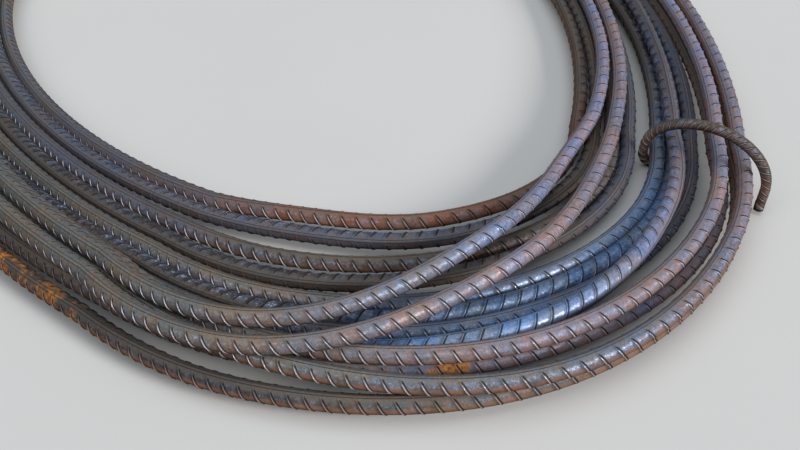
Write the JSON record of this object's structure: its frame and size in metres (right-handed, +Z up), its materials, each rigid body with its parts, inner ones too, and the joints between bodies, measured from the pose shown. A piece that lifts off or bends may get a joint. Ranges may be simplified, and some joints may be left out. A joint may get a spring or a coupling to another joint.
{
  "type": "folded rebar bundle",
  "caption": "Bundle of long ribbed reinforcing bars folded back on themselves into a wide loop, held by bent bar ties.",
  "frame": {"origin": "middle of the bounding box on the floor the ties lie on", "axes": "+X along the legs towards the cut ends, +Z up, the fold at -X"},
  "size_m": [6.0028, 0.7978, 0.0652],
  "materials": {
    "bar_steel_1": "hot-rolled mill scale, grey-brown, with light rust",
    "bar_steel_2": "hot-rolled mill scale, mauve-grey",
    "bar_steel_3": "hot-rolled mill scale, steel blue",
    "bar_steel_4": "rusted hot-rolled steel, red-brown",
    "tie_steel": "dark brown hot-rolled offcut"
  },
  "bodies": {
    "root": {"bar_01_fold": "bar_steel_4", "bar_01_legs": "bar_steel_4", "bar_02_fold": "bar_steel_2", "bar_02_legs": "bar_steel_2", "bar_03_fold": "bar_steel_1", "bar_03_legs": "bar_steel_1", "bar_04_fold": "bar_steel_1", "bar_04_legs": "bar_steel_1", "bar_05_fold": "bar_steel_3", "bar_05_legs": "bar_steel_3", "bar_06_fold": "bar_steel_3", "bar_06_legs": "bar_steel_3", "bar_07_fold": "bar_steel_3", "bar_07_legs": "bar_steel_3", "bar_08_fold": "bar_steel_2", "bar_08_legs": "bar_steel_2", "bar_09_fold": "bar_steel_3", "bar_09_legs": "bar_steel_3", "bar_10_fold": "bar_steel_4", "bar_10_legs": "bar_steel_4", "bar_11_fold": "bar_steel_2", "bar_11_legs": "bar_steel_2", "bar_12_fold": "bar_steel_2", "bar_12_legs": "bar_steel_2", "bar_13_fold": "bar_steel_1", "bar_13_legs": "bar_steel_1", "bar_14_fold": "bar_steel_1", "bar_14_legs": "bar_steel_1", "tie_01": "tie_steel", "tie_02": "tie_steel", "tie_03": "tie_steel", "tie_04": "tie_steel"}
  },
  "joints": []
}
